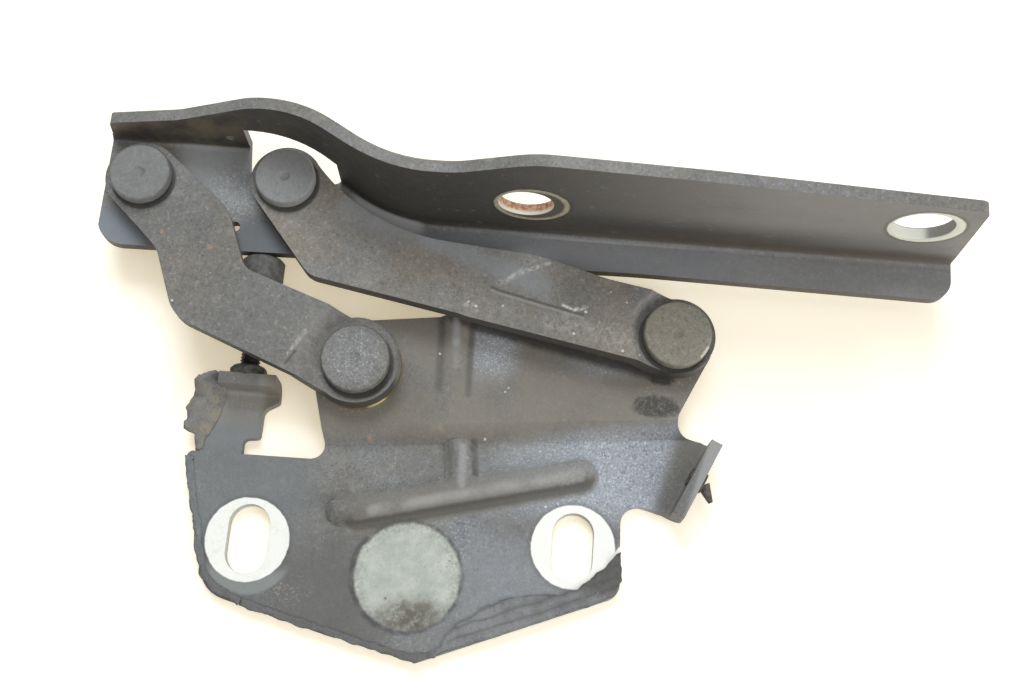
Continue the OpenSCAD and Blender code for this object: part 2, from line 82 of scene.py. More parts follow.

# Marks of the links. heads: pivot and shift in X of the painted shadow and grime round its head.
# lit_ramps: pivot, inner and outer radius and strength of painted light on the ramp round it.
# rust and flecks: spots. strokes: start, end, width, tone, strength and how broken they are;
# some are scratches, chips and dust, some are painted shade, highlights and sheen.
LINKS = {
    "short_link": {
        "seed": 30, "brown": 0.6, "blue": 0.4, "tone": 1.0,
        "heads": [("short_base", 0.55), ("short_bonnet", 0.55)],
        "lit_ramps": [("short_base", 9.8, 14.5, 0.15)],
        "rust": [(-67.8, 69.8, 0.8), (-55.4, 66.7, 0.9), (-57.2, 57.3, 0.7)],
        "flecks": [(-77, 72, 0.4), (-62.6, 52.2, 0.4)],
        "strokes": [
            # Painted highlight and shade along the crease near the base pivot
            ((-29.5, 47.5), (-32.8, 41.2), 0.7, (0.5, 0.5, 0.48), 0.8, 1),
            ((-31.2, 42), (-33.2, 38.6), 0.5, (0.06, 0.06, 0.058), 0.7, 0.5),
        ],
    },
    "long_link": {
        "seed": 40, "brown": 0.9, "blue": 0.35, "tone": 1.25,
        "heads": [("long_base", -0.6), ("long_bonnet", 0.55)],
        "lit_ramps": [],
        "rust": [(-24, 70, 0.7), (4, 62, 0.6)],
        "flecks": [
            (48, 61, 0.35), (44, 63.5, 0.3), (52, 48.5, 0.4), (38.1, 57.8, 0.5), (9.3, 57.8, 0.35),
            (11.2, 57, 0.45), (17.7, 57.7, 0.35), (35.5, 52, 0.5), (47.6, 48.6, 0.45),
        ],
        "strokes": [
            # Blue-grey dust with a painted sheen along the upper edge
            ((-22, 80), (-2, 73.4), 6.0, (0.29, 0.31, 0.34), 0.6, 0.3),
            ((-2, 73.4), (27, 63.6), 4.5, (0.32, 0.345, 0.38), 0.6, 0.5),
            ((32.4, 59.1), (34.4, 58.3), 0.6, CHIPPED, 0.95, 0.7),
            ((34.8, 57.9), (37.8, 58.9), 0.8, CHIPPED, 0.95, 1.0),
            # Painted shade and highlight along a crease
            ((14.7, 62), (37.4, 56.9), 0.6, (0.07, 0.068, 0.064), 0.7, 0.1),
            ((14.9, 61.2), (37.4, 56.2), 0.5, (0.36, 0.36, 0.34), 0.6, 0.4),
            ((28.2, 69.6), (22.0, 67.0), 0.9, (0.6, 0.61, 0.61), 0.8, 1.0),
            ((21.6, 66.4), (16.6, 63.4), 1.1, (0.62, 0.62, 0.61), 0.8, 1.0),
            ((8.6, 57.2), (11.4, 56), 1.2, (0.6, 0.6, 0.56), 0.7, 1.1),
            ((30, 54.5), (50, 51), 4.5, (0.45, 0.44, 0.41), 0.6, 1),
        ],
    },
}

# Outlines of the torn wax films
HORN_OUTLINE = [
    (-53.2, 19.2), (-52.6, 21.6), (-48.8, 33.0), (-48.4, 36.9), (-52.6, 37.0), (-55.2, 36.0),
    (-56.6, 33.2), (-57.8, 27.8), (-58.2, 23.4), (-55.6, 22.4), (-55.0, 18.8),
]
CORNER_OUTLINE = [
    (50.9, 2.0), (48.6, -0.4), (47.5, -2.2), (45.2, -3.4), (44.0, -5.6), (40.2, -8.2),
    (36.6, -9.2), (29.7, -10.2), (22.7, -12.0), (18.1, -14.6), (12.6, -18.4), (8.0, -25.6),
    (20.0, -21.4), (34.0, -15.7), (46.6, -10.5), (50.0, -8.2), (51.5, -5.0),
]
LEFT_OUTLINE = [
    (-55.2, 17.0), (-53.3, 9.0), (-51.4, 2.0), (-49.5, -5.0), (-47.8, -10.6), (-44.6, -13.6),
    (-39.0, -16.0), (-39.4, -17.9), (-46.0, -15.4), (-49.4, -11.2), (-51.4, -5.2), (-53.3, 2.2),
    (-55.3, 9.2), (-57.4, 17.2),
]
LOWER_OUTLINE = [
    (-38.6, -16.2), (-24.0, -19.8), (-12.0, -22.7), (-2.0, -25.2), (4.0, -25.8), (8.0, -24.6),
    (8.6, -26.2), (3.8, -28.0), (-2.2, -26.8), (-12.4, -24.4), (-24.4, -21.6), (-34.4, -19.1),
    (-39.2, -17.9),
]

# The hollow of the bonnet bracket's fold: the flange bows in by an arc and ends further back
FLANGE_Y, FLANGE_BACK_Y = 79.7, 96.5
BOW_R, BOW_TURN = 40, math.radians(34)
FOLD_R = 1.8

# Lamps: name, place, size, power and colour
LAMPS = [
    ("key", (-0.25, 1.35, 1.7), 1.1, 27.0, (0.94, 0.98, 1.0)),
    ("over", (0.2, -0.1, 2.2), 1.8, 6.0, (0.97, 0.99, 1.0)),
    ("side", (1.5, -1.0, 0.8), 1.4, 22.0, (1.0, 0.98, 0.95)),
]
LAMP_TARGET = Vector((0.02, 0.04, 0.0))

# Camera fitted to the photograph: two lengths in pixels, the rest in millimetres, and its axes
PHOTO_WIDTH, FOCAL_LENGTH = 1024, 1300
SENSOR = 36
CAMERA_AT = Vector((22.963, -43.805, 318.0))
CAMERA_RIGHT = Vector((0.99688, 0.0773, 0.01618))
CAMERA_DOWN = Vector((0.07864, -0.95276, -0.29338))


class Finish:
    """Shader nodes of one material.

    Positions are in millimetres of the CAD frame, so every mark stays on its piece in any pose.
    """

    def __init__(self, name):
        self.material = bpy.data.materials.new(name)
        self.material.use_nodes = True
        self.tree = self.material.node_tree
        self.shader = self.tree.nodes["Principled BSDF"]
        coords = self.node("ShaderNodeTexCoord")
        scaled = self.node("ShaderNodeVectorMath", operation="SCALE")
        self.put(scaled.inputs[0], coords.outputs["Object"])
        scaled.inputs["Scale"].default_value = 1 / MM
        self.place = scaled.outputs[0]
        self.x, self.y, self.z = self.parts(self.place)
        _, self.face_y, self.face_z = self.parts(coords.outputs["Normal"])

    def node(self, kind, **settings):
        made = self.tree.nodes.new(kind)
        for key, value in settings.items():
            setattr(made, key, value)
        return made

    def put(self, socket, value):
        """Links a socket to a value, or sets it; a colour gets its alpha."""
        if isinstance(value, bpy.types.NodeSocket):
            self.tree.links.new(value, socket)
        else:
            socket.default_value = (*value, 1) if isinstance(value, tuple) else value

    def parts(self, vector):
        split = self.node("ShaderNodeSeparateXYZ")
        self.put(split.inputs[0], vector)
        return split.outputs

    def calc(self, operation, *values):
        made = self.node("ShaderNodeMath", operation=operation)
        for socket, value in zip(made.inputs, values):
            self.put(socket, value)
        return made.outputs[0]

    def grade(self, value, low, high):
        """0 at low, 1 at high, smooth between; low may be the larger."""
        made = self.node("ShaderNodeMapRange", interpolation_type="SMOOTHSTEP")
        flip = low > high
        settings = [value, min(low, high), max(low, high), float(flip), float(not flip)]
        for socket, setting in zip(made.inputs, settings):
            self.put(socket, setting)
        return made.outputs[0]

    def between(self, value, first, second):
        """Where two grades of one value, each given by its low and high, are both set."""
        return self.both(self.grade(value, *first), self.grade(value, *second))

    def beyond(self, value, base, slope, level):
        """How far a value is beyond the line slope * base + level."""
        return self.calc("SUBTRACT", value, self.calc("MULTIPLY_ADD", base, slope, level))

    def mix(self, mask, a, b):
        made = self.node("ShaderNodeMix", data_type="RGBA")
        self.put(made.inputs[0], mask)
        self.put(made.inputs[6], a)
        self.put(made.inputs[7], b)
        return made.outputs[2]

    def both(self, *masks):
        return reduce(lambda a, b: self.calc("MULTIPLY", a, b), masks)

    def either(self, *masks):
        return reduce(lambda a, b: self.calc("MAXIMUM", a, b), masks)

    def over(self, colour, tone, *masks):
        """Lays a tone over a colour where every mask is set."""
        return self.mix(self.both(*masks), colour, tone)

    def noise(self, scale, detail=4.0, rough=0.6, seed=0.0, along=1.0):
        """Noise from 0 to 1; along below 1 draws it out in X."""
        made = self.node("ShaderNodeTexNoise", noise_dimensions="4D")
        place = self.place
        if along != 1.0:
            mapped = self.node("ShaderNodeMapping")
            self.put(mapped.inputs["Vector"], place)
            mapped.inputs["Scale"].default_value = (along, 1, 1)
            place = mapped.outputs[0]
        self.put(made.inputs["Vector"], place)
        made.inputs["W"].default_value = seed
        made.inputs["Scale"].default_value = scale
        made.inputs["Detail"].default_value = detail
        made.inputs["Roughness"].default_value = rough
        return made.outputs["Fac"]

    def patches(self, low, high, *noise_settings, **noise_options):
        """Noise graded from low to high."""
        return self.grade(self.noise(*noise_settings, **noise_options), low, high)

    def ragged(self, value, wobble, scale):
        """Adds a shift of up to about wobble to a distance."""
        shift = self.calc("SUBTRACT", self.noise(scale, 5, 0.65), 0.5)
        return self.calc("ADD", value, self.calc("MULTIPLY", shift, wobble * 2))

    def length(self, du, dv, wobble, scale):
        """Length of a shift in a plane, with a ragged edge if wobble is set."""
        squares = self.calc("ADD", self.calc("MULTIPLY", du, du), self.calc("MULTIPLY", dv, dv))
        far = self.calc("SQRT", squares)
        return self.ragged(far, wobble, scale) if wobble else far

    def reach(self, centre, wobble=0.0, scale=0.3, squeeze=(1, 1), upright=False):
        """Distance from a centre in the XY plane, or XZ if upright, in units of squeeze."""
        second = self.z if upright else self.y
        du = self.calc("DIVIDE", self.calc("SUBTRACT", self.x, centre[0]), squeeze[0])
        dv = self.calc("DIVIDE", self.calc("SUBTRACT", second, centre[1]), squeeze[1])
        return self.length(du, dv, wobble, scale)

    def stroke(self, start, end, wobble=0.0, scale=0.4):
        """Distance in the XY plane from a straight stroke between two points."""
        dx, dy = end[0] - start[0], end[1] - start[1]
        px, py = self.calc("SUBTRACT", self.x, start[0]), self.calc("SUBTRACT", self.y, start[1])
        along = self.calc("ADD", self.calc("MULTIPLY", px, dx), self.calc("MULTIPLY", py, dy))
        part = self.calc("MAXIMUM", self.calc("DIVIDE", along, dx * dx + dy * dy), 0.0)
        part = self.calc("MINIMUM", part, 1.0)
        du = self.calc("SUBTRACT", px, self.calc("MULTIPLY", part, dx))
        dv = self.calc("SUBTRACT", py, self.calc("MULTIPLY", part, dy))
        return self.length(du, dv, wobble, scale)

    def finish(self, colour, rough, bumps=(), metal=0.0, specular=0.4):
        """Sets the shader; each bump is a height from 0 to 1 and its depth in millimetres."""
        inputs = self.shader.inputs
        self.put(inputs["Base Color"], colour)
        self.put(inputs["Roughness"], rough)
        self.put(inputs["Metallic"], metal)
        self.put(inputs["Specular IOR Level"], specular)
        normal = inputs["Normal"]
        for height, depth in reversed(bumps):
            made = self.node("ShaderNodeBump")
            made.inputs["Distance"].default_value = depth * MM
            self.put(made.inputs["Height"], height)
            self.put(normal, made.outputs[0])
            normal = made.inputs["Normal"]
        return self.material


def dusty_paint(f, seed=0.0, brown=0.5, blue=0.5, tone=1.0):
    """Worn black paint gone grey: cloudy brown and blue dust, blotches, fine grain and flecks."""
    def grey(*rgb):
        return tuple(tone * v for v in rgb)

    cloud = f.patches(0.3, 0.7, 0.035, 5, 0.62, seed)
    colour = f.mix(cloud, grey(0.14, 0.139, 0.134), grey(0.205, 0.203, 0.197))
    dirt = f.patches(0.4, 0.7, 0.05, 5, 0.6, seed + 3)
    colour = f.over(colour, grey(0.2, 0.175, 0.138), dirt, brown)
    haze = f.patches(0.45, 0.75, 0.04, 4, 0.6, seed + 7)
    colour = f.over(colour, grey(0.168, 0.19, 0.218), haze, blue)
    blotch = f.noise(0.22, 5, 0.7, seed + 9)
    colour = f.over(colour, grey(0.095, 0.093, 0.09), f.grade(blotch, 0.5, 0.3), 0.35)
    colour = f.over(colour, grey(0.3, 0.3, 0.29), f.grade(blotch, 0.52, 0.72), 0.35)
    for scale, shift, strength in ((0.75, 1, 0.5), (1.7, 2, 0.8)):
        grain = f.noise(scale, 4, 0.8, seed + shift)
        colour = f.over(colour, grey(0.07, 0.069, 0.067), f.grade(grain, 0.48, 0.3), strength)
        colour = f.over(colour, grey(0.37, 0.37, 0.36), f.grade(grain, 0.54, 0.72), strength)
    fleck = f.patches(0.73, 0.77, 1.7, 2, 0.5, seed + 11)
    return f.over(colour, (0.6, 0.59, 0.56), fleck, 0.75)


def sparkle(f, colour, mask, seed=0.0):
    """Pale frosty speckle where the mask is set."""
    speckle = f.noise(1.9, 3, 0.7, seed)
    colour = f.over(colour, (0.13, 0.14, 0.15), f.grade(speckle, 0.46, 0.32), mask, 0.8)
    return f.over(colour, (0.7, 0.75, 0.82), f.grade(speckle, 0.52, 0.68), mask, 0.85)


def spots(f, colour, places, tone, strength=0.8):
    """Small ragged spots: each place is x, y and radius."""
    for x, y, r in places:
        spot = f.grade(f.reach((x, y), 1.1 * r, 1.1 / r), r, 0.4 * r)
        colour = f.over(colour, tone, spot, strength)
    return colour


def paint_bumps(f, seed=0.0):
    """Fine grain and broad waves of the paint."""
    return [(f.noise(1.4, 4, 0.65, seed), 0.09), (f.noise(0.14, 4, 0.55, seed + 2), 0.25)]


def paint_gloss(f, seed=0.0):
    return f.calc("ADD", 0.46, f.calc("MULTIPLY", f.noise(0.3, 4, seed=seed), 0.25))


def pad_tones(f):
    """Dust of the body bracket: blue left, dark bottom, brown neck, frosted right, horn and ear;
    painted light on the horn, painted shade on its tab and at the ear's root.
    """
    colour = dusty_paint(f, brown=0.25, blue=0.75, tone=1.06)
    left = f.both(f.grade(f.ragged(f.x, 5, 0.06), -18, -34), f.between(f.y, (-9, 3), (30, 22)))
    colour = f.over(colour, (0.178, 0.199, 0.216), left, 0.6)
    bottom = f.both(f.grade(f.ragged(f.x, 4, 0.08), 4, -6), f.grade(f.y, 3, -8))
    colour = f.over(colour, (0.12, 0.121, 0.12), bottom, 0.7)
    brown_band = f.both(f.grade(f.y, 22, 30), f.patches(0.25, 0.55, 0.06))
    colour = f.over(colour, (0.248, 0.227, 0.19), brown_band, 0.7)
    neck = f.both(f.between(f.y, (22, 27), (42, 34)), f.grade(f.x, 6, -4))
    colour = f.over(colour, (0.165, 0.148, 0.118), neck, 0.45)

    upper_frost = f.grade(f.reach((16, 51), 3, 0.2, (1, 1.5)), 9, 2)
    upper_frost = f.both(upper_frost, f.grade(f.x, 10.5, 12))
    dust = f.both(f.grade(f.reach((44, 47), 2, 0.2, (2.6, 1)), 5, 1), 0.45)
    above = f.ragged(f.beyond(f.y, f.x, 0.19, 22.8), 1.5, 0.25)
    past = f.beyond(f.x, f.y, 0.293, 55.1)
    frost = f.both(f.grade(f.x, 6, 46), f.grade(above, 2.5, -3.5), f.grade(f.y, 4, 15),
                   f.grade(past, 1.5, -3))
    low = f.both(f.grade(f.y, 10, -6), f.grade(f.x, -10, 25), 0.4)
    pale = f.either(frost, low, dust, f.both(upper_frost, 0.7))
    colour = f.over(colour, (0.42, 0.465, 0.54), pale, 0.75)

    # The horn's upper part is painted lighter, against the shade of its folded end and the nut
    horn = f.both(f.grade(f.x, -38, -41), f.grade(f.y, 19, 23))
    horn_tone = f.mix(f.grade(f.y, 23.5, 31.5), (0.192, 0.205, 0.216), (0.34, 0.331, 0.314))
    colour = f.over(colour, horn_tone, horn, 0.75)
    # Painted shade on the tab's top face, which catches the light; its sides stay paler
    tab_tone = f.mix(f.grade(f.face_z, 0.3, 0.7), (0.18, 0.173, 0.16), (0.105, 0.101, 0.093))
    colour = f.over(colour, tab_tone, horn, f.grade(f.z, 4, 7), 0.85)

    thin = f.both(f.patches(0.48, 0.68, 0.05, 3, seed=5), 0.4)
    colour = sparkle(f, colour, f.either(frost, upper_frost, dust, thin))
    coarse = f.both(f.patches(0.47, 0.34, 0.85, 4, 0.75, 19), frost, f.grade(f.x, 24, 40))
    colour = f.over(colour, (0.15, 0.158, 0.17), coarse, 0.6)
    # Painted shade at the ear's root
    root_shade = f.both(f.between(past, (-2, 2), (7.5, 5.5)), f.grade(f.y, 6, 9))
    colour = f.over(colour, (0.14, 0.137, 0.13), root_shade, 0.3)
    ear = f.both(f.grade(past, 6, 7.5), f.grade(f.y, 6, 9))
    return f.over(colour, (0.35, 0.355, 0.36), ear, 0.75)


def pad_marks(f, colour, top):
    """Stains beside the long link and a painted shadow under it, painted shade and highlight on the
    beads, and spots.
    """
    stain = f.grade(f.reach((57.4, 37.8), 0.4, 0.9, (5.8, 2.9)), 1.2, 0.75)
    stain = f.both(stain, f.patches(0.3, 0.55, 1.5, 4, 0.75, 17))
    colour = f.over(colour, (0.05, 0.048, 0.047), stain, top, 0.9)
    clump = f.grade(f.reach((58.5, 44.8), 0.6, 0.6, (3.4, 1.6)), 1.2, 0.6)
    colour = f.over(colour, SOOT, clump, top, 0.85)
    # Painted shadow along the long link's lower edge
    shadow_and_grime = f.grade(f.stroke((6, 56.2), (56, 46.0), 0.8), 2.6, 0.4)
    colour = f.over(colour, (0.04, 0.037, 0.032), shadow_and_grime, top, 0.85)

    raised = f.grade(f.z, 2, 2.8)
    bead = f.stroke(*BEAD, 0.5)
    ridge = f.both(f.grade(bead, 5.0, 4.0), raised, f.grade(f.x, -20, -10))
    colour = f.over(colour, (0.185, 0.172, 0.15), ridge, 0.65)
    # Painted shade on the bead's lower flank
    shaded_flank = f.both(f.between(bead, (4.3, 3.0), (0.7, 1.7)), raised)
    below = f.grade(f.beyond(f.y, f.x, 0.256, 9.06), 1.0, -1.5)
    colour = f.over(colour, (0.075, 0.071, 0.062), shaded_flank, below, 0.75)
    # Painted highlight along the bead's crest
    crest_highlight = f.both(f.grade(f.stroke(*CREST), 2.1, 0.2), f.patches(0.25, 0.6, 0.12, 4, 0.6, 18))
    colour = f.over(colour, (0.5, 0.505, 0.5), crest_highlight, raised, 0.42)

    # Painted highlights and shade along the two upright beads
    broken = f.patches(0.15, 0.5, 0.35, 5, 0.7, 8)
    for start, end, width, strength, tone in BEAD_LIGHT_STROKES:
        line = f.grade(f.stroke(start, end, 0.6), width, 0.2)
        colour = f.over(colour, tone, line, broken, strength, raised)
    colour = spots(f, colour, PAD_RUST, (0.38, 0.25, 0.17), 0.6)
    return spots(f, colour, PAD_FLECKS, (0.75, 0.75, 0.72))


def bare_disc(f, colour, top):
    """The round bare patch between the slots, dirty at its edge and smudged below."""
    far = f.reach(DISC, 0.7, 0.5)
    blur = f.both(f.grade(f.x, 4, -8), f.noise(0.6, 5, 0.75, 16))
    disc = f.both(f.grade(f.calc("ADD", far, blur), 13.5, 12.4), top)
    zinc = f.mix(f.patches(0.35, 0.7, 0.18, 5, 0.7, 11), (0.41, 0.45, 0.41), (0.56, 0.59, 0.54))
    speck = f.noise(1.3, 4, 0.75, 12)
    zinc = f.over(zinc, (0.2, 0.205, 0.19), f.grade(speck, 0.58, 0.7), 0.65)
    zinc = f.over(zinc, (0.68, 0.71, 0.68), f.grade(speck, 0.42, 0.3), 0.5)
    edge_dirt = f.both(f.grade(f.ragged(far, 2.5, 0.25), 9, 14), f.grade(speck, 0.4, 0.6))
    zinc = f.over(zinc, (0.22, 0.22, 0.2), edge_dirt, 0.7)
    smudge = f.grade(f.reach((2.0, -17.8), 0.45, 0.3, (10.5, 6.4)), 1.15, 0.3)
    zinc = f.over(zinc, (0.14, 0.13, 0.105), smudge, f.patches(0.25, 0.55, 0.4, 5, 0.7, 13))
    zinc = spots(f, zinc, DISC_SPOTS, (0.06, 0.055, 0.05), 0.6)
    rim = f.both(f.between(far, (14.3, 13.4), (12.4, 13.0)), top)
    rim = f.both(rim, f.patches(0.35, 0.6, 0.3, seed=14))
    colour = f.over(colour, (0.055, 0.055, 0.053), rim, 0.7)
    return f.mix(disc, colour, zinc)


def bolt_prints(f, colour, top):
    """Chalky prints of the two bolts round the slots, their rims, and the slots' bare walls."""
    bare = f.both(f.grade(f.stroke((48.2, -0.8), (51.2, 2.2), 0.5, 0.7), 1.3, 0.8), top)
    for place in BOLT_PRINTS:
        far = f.reach(place, 0.3, 0.6)
        bare = f.either(bare, f.both(f.grade(far, 10.35, 10.0), top))
        rim = f.both(f.between(far, (11.4, 10.5), (9.9, 10.3)), top)
        colour = f.over(colour, (0.05, 0.05, 0.05), rim, 0.25)
    lip = f.grade(f.reach((-38.6, -4.6), 0.5, 0.4), 11.2, 10.2)
    colour = f.over(colour, (0.27, 0.29, 0.29), lip, f.grade(f.y, -7, -11), top, 0.75)
    chalk = f.mix(f.patches(0.45, 0.75, 0.5, 4, 0.7, 15), (0.92, 0.935, 0.91), (0.82, 0.84, 0.78))
    # The right print is painted brighter, to make up for the weaker light there
    chalk = f.over(chalk, (0.97, 0.975, 0.955), f.grade(f.x, 0, 25), 0.75)
    colour = f.mix(bare, colour, chalk)
    upright = f.both(f.grade(f.face_z, 0.5, 0.2), f.grade(f.z, 0.1, 0.4))
    for place in BOLT_PRINTS:
        colour = f.over(colour, (0.5, 0.51, 0.45), f.grade(f.reach(place), 9.5, 9.3), upright)
    return colour


def base_paint():
    f = Finish("base_paint")
    top = f.grade(f.face_z, 0.4, 0.8)
    colour = pad_marks(f, pad_tones(f), top)
    colour = bolt_prints(f, bare_disc(f, colour, top), top)
    return f.finish(colour, paint_gloss(f, 2), paint_bumps(f))


def flange_shade(f):
    """Painted shade on the bonnet flange's inside: nearly black at the bow and low down, painted
    paler to the right, and smeared.
    """
    shade = f.mix(f.grade(f.x, -5, 95), (0.03, 0.027, 0.023), (0.235, 0.228, 0.217))
    # Painted shade on the flange's lower part, fading out to the right
    low_shade = f.both(f.grade(f.ragged(f.z, 3, 0.06), 31, 18), f.grade(f.x, 135, 70))
    shade = f.over(shade, (0.04, 0.036, 0.03), low_shade, 0.85)
    smear = f.patches(0.5, 0.72, 0.05, 5, 0.65, 23, along=0.35)
    shade = f.over(shade, (0.115, 0.1, 0.08), smear, 0.55)
    shade = f.over(shade, (0.34, 0.335, 0.32), f.patches(0.58, 0.75, 0.5, 4, 0.7, 27), 0.35)
    left_dirt = f.both(f.grade(f.x, -46, -56), f.patches(0.35, 0.6, 0.12, 4, 0.6, 25))
    shade = f.over(shade, (0.16, 0.125, 0.075), left_dirt, 0.6)
    # Brownish painted shade in the fold at the flange's foot
    foot = f.both(f.grade(f.ragged(f.z, 1.5, 0.1), 19.5, 15), f.grade(f.x, 20, 60))
    return f.over(shade, (0.085, 0.068, 0.05), foot, 0.7)


def web_marks(f, colour):
    """Blue and pale dust, painted shade under the long link, painted light beside the pivots and
    next to the flange, frost and a pale line along the fold on the bonnet bracket's web.
    """
    up = f.grade(f.face_z, 0.5, 0.9)
    web = f.both(up, f.grade(f.z, 14, 12.6))
    blue = f.both(up, f.grade(f.y, 79, 74), f.grade(f.x, 120, -10))
    colour = f.over(colour, (0.255, 0.28, 0.32), blue, 0.75)
    pale = f.both(web, f.grade(f.y, 80, 77), f.grade(f.x, -5, 25))
    colour = f.over(colour, (0.3, 0.31, 0.335), pale, 0.5)
    # Painted shade under the long link's left edge
    under_link_shade = f.both(web, f.grade(f.reach((-43, 72), 1.5, 0.2, (1.7, 1)), 8, 4))
    colour = f.over(colour, (0.105, 0.112, 0.12), under_link_shade, 0.75)
    # Painted light on the web between the long link and the flange
    wear_and_light = f.both(web, f.grade(f.stroke((-20, 84.5), (-7, 78), 1.2, 0.3), 4.5, 1.0))
    colour = f.over(colour, (0.46, 0.47, 0.49), wear_and_light, 0.8)
    corner = f.both(up, f.grade(f.x, -70, -78), f.grade(f.y, 80, 74))
    colour = f.over(colour, (0.2, 0.225, 0.262), corner, 0.75)
    # Painted light on the web beside the bonnet pivots, against the flange's shadow
    lit = f.both(web, f.between(f.x, (-72, -64), (-40, -46)), f.grade(f.y, 76, 82))
    colour = f.over(colour, (0.4, 0.42, 0.44), lit, 0.7)
    frost = f.both(up, f.grade(f.reach((-53, 84), 3, 0.15), 13, 3))
    colour = sparkle(f, colour, f.both(frost, 0.7), 24)
    line = f.grade(f.calc("ABSOLUTE", f.calc("SUBTRACT", f.y, 78.1)), 0.5, 0.1)
    foot = f.both(f.between(f.z, (13.4, 12.8), (11, 11.8)), f.between(f.x, (18, 32), (75, 45)))
    worn = f.patches(0.25, 0.5, 0.3, 5, 0.7, 28)
    return f.over(colour, (0.42, 0.43, 0.44), line, foot, worn, 0.5)


def slot_prints(f, colour):
    """Worn prints round the bonnet slots, and the slots' walls: rusty left, bare right."""
    rust = f.mix(f.patches(0.4, 0.65, 0.9, 5, 0.7, 9), (0.32, 0.12, 0.055), (0.55, 0.4, 0.3))
    rust = f.mix(f.grade(f.ragged(f.y, 0.5, 0.9), 81.3, 80.3), rust, (0.66, 0.62, 0.53))
    zinc = f.mix(f.grade(f.x, 117.5, 119.5), (0.62, 0.62, 0.57), (0.22, 0.22, 0.2))
    face = f.between(f.y, (78, 79), (81, 80))
    bore = f.between(f.y, (79.75, 79.95), (82.65, 82.4))
    for cx, cz, r, rim, fill, bore_tone in (
        (22.9, 28.4, 9.2, (0.42, 0.39, 0.28), (0.1, 0.095, 0.085), rust),
        (116.4, 33.3, 9.0, (0.78, 0.77, 0.66), (0.7, 0.7, 0.63), zinc),
    ):
        far = f.ragged(f.reach((cx, cz), upright=True), 0.35, 0.6)
        worn = f.mix(f.grade(far, r - 1.7, r - 0.9), fill, rim)
        worn = f.over(worn, fill, f.patches(0.45, 0.7, 0.8, 4, 0.7, cx), 0.5)
        colour = f.over(colour, worn, f.grade(far, r + 0.2, r - 0.3), face)
        lip = f.between(far, (r + 1.3, r + 0.3), (r - 0.2, r + 0.2))
        colour = f.over(colour, SOOT, lip, face, 0.35)
        colour = f.over(colour, bore_tone, f.grade(far, r - 0.4, r - 0.6), bore)
    return colour


def arm_paint():
    f = Finish("arm_paint")
    colour = dusty_paint(f, 20, brown=0.2, blue=0.7, tone=1.2)
    # The painted shade of flange_shade goes on every face turned towards -Y
    colour = f.over(colour, flange_shade(f), f.grade(f.face_y, -0.4, -0.8), 0.9)
    colour = slot_prints(f, web_marks(f, colour))
    return f.finish(colour, paint_gloss(f, 21), paint_bumps(f, 20))


def link_paint(name, seed, brown, blue, tone, heads, lit_ramps, rust, flecks, strokes):
    """Paint of a link: painted light on its ramps, rust and white specks, strokes of scratches,
    dust, painted sheen and crease shading, painted shadow and grime round the heads, painted shade
    on its lower sides.
    """
    f = Finish(name)
    colour = dusty_paint(f, seed, brown, blue, tone)
    # Painted light on the ramps round the pivots
    for pivot, inside, outside, lift in lit_ramps:
        far = f.reach(PIVOTS[pivot], 0.4, 0.3)
        slope = f.between(far, (inside - 0.4, inside + 0.6), (outside + 0.5, outside - 0.7))
        colour = f.over(colour, (0.33, 0.33, 0.32), slope, lift)
    colour = spots(f, colour, rust, (0.38, 0.26, 0.19), 0.6)
    colour = spots(f, colour, flecks, (0.72, 0.72, 0.69), 0.9)
    for start, end, width, shade, strength, broken in strokes:
        mark = f.grade(f.stroke(start, end, 0.6 * width, 0.5), width, 0.1 * width)
        whole = 1 - broken
        gaps = f.patches(0.4 - 0.4 * whole, 0.62 - 0.5 * whole, 0.8, 5, 0.8, seed + 6)
        colour = f.over(colour, shade, mark, strength, gaps)
    # Painted shadow and grime round each head
    for pivot, shift in heads:
        cx, cy = PIVOTS[pivot]
        far = f.reach((cx + shift, cy - 0.75), 0.35, 0.6)
        shadow_and_grime = f.grade(far, HEAD_R[pivot] + 0.8, HEAD_R[pivot] + 0.1)
        colour = f.over(colour, (0.03, 0.029, 0.027), shadow_and_grime, 0.8)
    # Painted shade on the side faces turned towards -Y
    shaded_flank = f.both(f.grade(f.face_z, 0.5, 0.2), f.grade(f.face_y, -0.2, -0.5))
    colour = f.over(colour, (0.045, 0.042, 0.036), shaded_flank, 0.85)
    return f.finish(colour, paint_gloss(f, seed), paint_bumps(f, seed))


